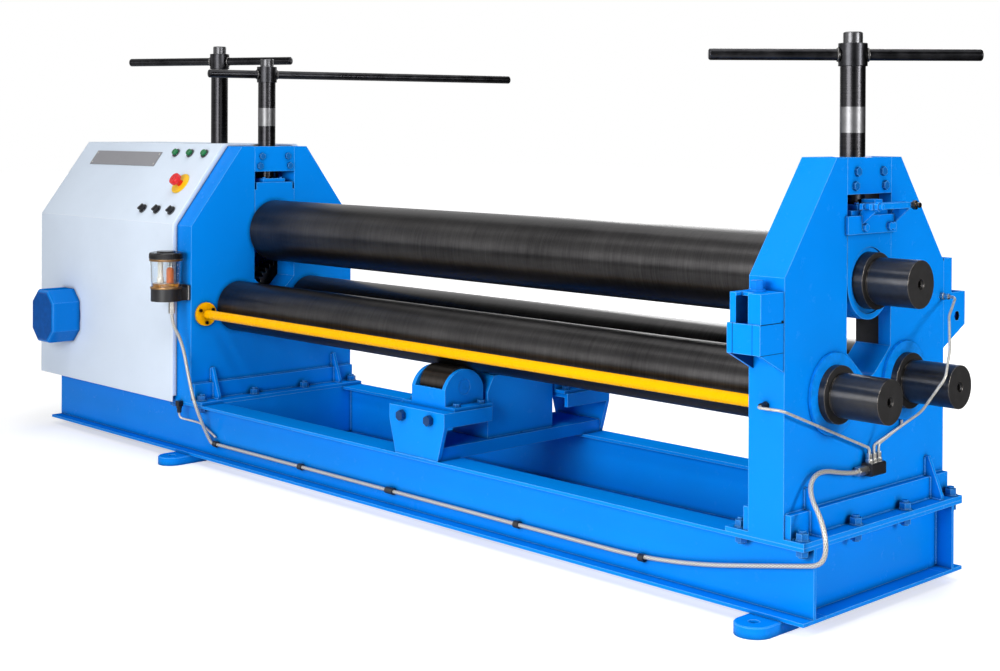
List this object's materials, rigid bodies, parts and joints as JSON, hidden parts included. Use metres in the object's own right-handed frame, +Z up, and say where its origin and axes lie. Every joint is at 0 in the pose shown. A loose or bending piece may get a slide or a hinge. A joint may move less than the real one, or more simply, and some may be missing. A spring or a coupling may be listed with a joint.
{
  "type": "plate rolling machine",
  "caption": "Motor-driven plate rolling machine with two geared lower rolls, a screw-down upper roll, slotted blue housings on a welded base and a white drive cabinet.",
  "frame": {"origin": "floor, at the centre of the four foot bolt holes", "axes": "+X along the rolls toward the free end, +Y to the back, +Z up"},
  "size_m": [3.3009, 1.284, 1.306],
  "materials": {
    "blue_paint": "satin blue paint",
    "black_steel": "dark oiled steel",
    "bronze": "turned bronze",
    "zinc_steel": "zinc plated",
    "gear_steel": "oiled steel",
    "yellow_paint": "yellow paint",
    "white_paint": "off-white paint",
    "grey_plate": "bare grey plate",
    "bezel_metal": "chromed ring",
    "green_plastic": "green",
    "yellow_plastic": "yellow",
    "red_plastic": "red",
    "black_plastic": "black",
    "clear_plastic": "clear plastic",
    "braided_hose": "steel braided hose"
  },
  "bodies": {
    "frame": {"base_bolts": "zinc_steel", "base_cross_beams": "blue_paint", "base_front_beam": "blue_paint", "base_rear_beam": "blue_paint", "cabinet_shell": "white_paint", "control_bezels": "bezel_metal", "emergency_stop_collar": "yellow_plastic", "foot_lugs": "blue_paint", "frame_bolts": "zinc_steel", "front_bracket": "blue_paint", "front_carrier": "blue_paint", "gear_reducer": "blue_paint", "hose_clips": "black_plastic", "left_housing": "blue_paint", "lower_bushes": "bronze", "lubricator_base": "black_plastic", "lubricator_cap": "black_plastic", "lubricator_cup": "clear_plastic", "motor": "blue_paint", "motor_cover": "blue_paint", "name_plate": "grey_plate", "oil_hose": "braided_hose", "oil_manifold": "zinc_steel", "oil_pipes": "zinc_steel", "pipe_fittings": "zinc_steel", "rear_bracket": "blue_paint", "rear_carrier": "blue_paint", "right_housing": "blue_paint", "safety_rail": "yellow_paint", "screw_nuts": "bronze", "support_bridge": "blue_paint", "tail_bracket": "blue_paint", "yoke_caps": "blue_paint"},
    "upper_carriage": {"right_bearing_block": "blue_paint", "left_bearing_block": "blue_paint", "tail_bearing_block": "blue_paint", "upper_bushes": "bronze", "screw_keepers": "blue_paint", "lift_clamp": "blue_paint"},
    "upper_roll": {"upper_roll": "black_steel"},
    "right_screw": {"right_screw": "black_steel", "right_handle": "black_steel"},
    "left_screw": {"left_screw": "black_steel"},
    "tail_screw": {"tail_screw": "black_steel"},
    "left_handle": {"left_handle": "black_steel"},
    "tail_handle": {"tail_handle": "black_steel"},
    "lower_front_roll": {"lower_front_roll": "black_steel", "front_roll_gear": "gear_steel"},
    "lower_rear_roll": {"lower_rear_roll": "black_steel", "rear_roll_gear": "gear_steel"},
    "drive_pinion": {"drive_pinion": "gear_steel"},
    "front_support_roller": {"front_support_roller": "black_steel"},
    "rear_support_roller": {"rear_support_roller": "black_steel"},
    "left_green_button": {"left_green_button": "green_plastic"},
    "middle_green_button": {"middle_green_button": "green_plastic"},
    "right_green_button": {"right_green_button": "green_plastic"},
    "emergency_stop_button": {"emergency_stop_button": "red_plastic"},
    "left_selector": {"left_selector": "black_plastic"},
    "middle_selector": {"middle_selector": "black_plastic"},
    "right_selector": {"right_selector": "black_plastic"}
  },
  "joints": [
    {"name": "upper_roll_lift", "type": "slide", "parent": "frame", "child": "upper_carriage", "axis": [0, 0, 1], "range_m": [-0.1081, 0.0091]},
    {"name": "upper_roll_turn", "type": "hinge", "parent": "upper_carriage", "child": "upper_roll", "pos_m": [0, 0, 0.706], "axis": [1, 0, 0], "continuous": true},
    {"name": "right_screw_turn", "type": "hinge", "parent": "upper_carriage", "child": "right_screw", "pos_m": [1.105, 0, 0.86], "axis": [0, 0, 1], "range_deg": [-3888, 324]},
    {"name": "left_screw_turn", "type": "hinge", "parent": "upper_carriage", "child": "left_screw", "pos_m": [-1.105, 0, 0.86], "axis": [0, 0, 1], "range_deg": [-3889, 325]},
    {"name": "tail_screw_turn", "type": "hinge", "parent": "upper_carriage", "child": "tail_screw", "pos_m": [-1.377, 0, 0.86], "axis": [0, 0, 1], "range_deg": [-3889, 325]},
    {"name": "left_handle_swing", "type": "hinge", "parent": "upper_carriage", "child": "left_handle", "pos_m": [-1.105, 0, 1.206], "axis": [0, 0, 1], "range_deg": [-200, 80]},
    {"name": "tail_handle_swing", "type": "hinge", "parent": "upper_carriage", "child": "tail_handle", "pos_m": [-1.377, 0, 1.256], "axis": [0, 0, 1], "range_deg": [-16, 138]},
    {"name": "lower_front_roll_turn", "type": "hinge", "parent": "frame", "child": "lower_front_roll", "pos_m": [0, -0.139, 0.474], "axis": [1, 0, 0], "continuous": true},
    {"name": "lower_rear_roll_turn", "type": "hinge", "parent": "frame", "child": "lower_rear_roll", "pos_m": [0, 0.139, 0.474], "axis": [1, 0, 0], "continuous": true},
    {"name": "drive_pinion_turn", "type": "hinge", "parent": "frame", "child": "drive_pinion", "pos_m": [-1.225, 0, 0.37964], "axis": [1, 0, 0], "continuous": true},
    {"name": "front_support_roller_turn", "type": "hinge", "parent": "frame", "child": "front_support_roller", "pos_m": [0, -0.203, 0.36326], "axis": [1, 0, 0], "continuous": true},
    {"name": "rear_support_roller_turn", "type": "hinge", "parent": "frame", "child": "rear_support_roller", "pos_m": [0, 0.203, 0.36326], "axis": [1, 0, 0], "continuous": true},
    {"name": "left_green_button_press", "type": "slide", "parent": "frame", "child": "left_green_button", "axis": [0, 0.8062, -0.5916], "range_m": [0, 0.004], "stiffness_N_per_m": 600, "springref_m": -0.002},
    {"name": "middle_green_button_press", "type": "slide", "parent": "frame", "child": "middle_green_button", "axis": [0, 0.8062, -0.5916], "range_m": [0, 0.004], "stiffness_N_per_m": 600, "springref_m": -0.002},
    {"name": "right_green_button_press", "type": "slide", "parent": "frame", "child": "right_green_button", "axis": [0, 0.8062, -0.5916], "range_m": [0, 0.004], "stiffness_N_per_m": 600, "springref_m": -0.002},
    {"name": "emergency_stop_press", "type": "slide", "parent": "frame", "child": "emergency_stop_button", "axis": [0, 0.8062, -0.5916], "range_m": [0, 0.006], "stiffness_N_per_m": 800, "springref_m": -0.002},
    {"name": "left_selector_turn", "type": "hinge", "parent": "frame", "child": "left_selector", "pos_m": [-1.36, -0.29919, 0.77189], "axis": [0, -0.8062, 0.5916], "range_deg": [-45, 45]},
    {"name": "middle_selector_turn", "type": "hinge", "parent": "frame", "child": "middle_selector", "pos_m": [-1.276, -0.29919, 0.77189], "axis": [0, -0.8062, 0.5916], "range_deg": [-45, 45]},
    {"name": "right_selector_turn", "type": "hinge", "parent": "frame", "child": "right_selector", "pos_m": [-1.192, -0.29919, 0.77189], "axis": [0, -0.8062, 0.5916], "range_deg": [-45, 45]}
  ],
  "couplings": [
    {"joint": "upper_roll_lift", "follows": "right_screw_turn", "m_per_rad": 0.0015915},
    {"joint": "left_screw_turn", "follows": "right_screw_turn", "ratio": 1},
    {"joint": "tail_screw_turn", "follows": "right_screw_turn", "ratio": 1},
    {"joint": "lower_rear_roll_turn", "follows": "lower_front_roll_turn", "ratio": 1},
    {"joint": "drive_pinion_turn", "follows": "lower_front_roll_turn", "ratio": -2.5},
    {"joint": "front_support_roller_turn", "follows": "lower_front_roll_turn", "ratio": -1.55},
    {"joint": "rear_support_roller_turn", "follows": "lower_front_roll_turn", "ratio": -1.55}
  ]
}
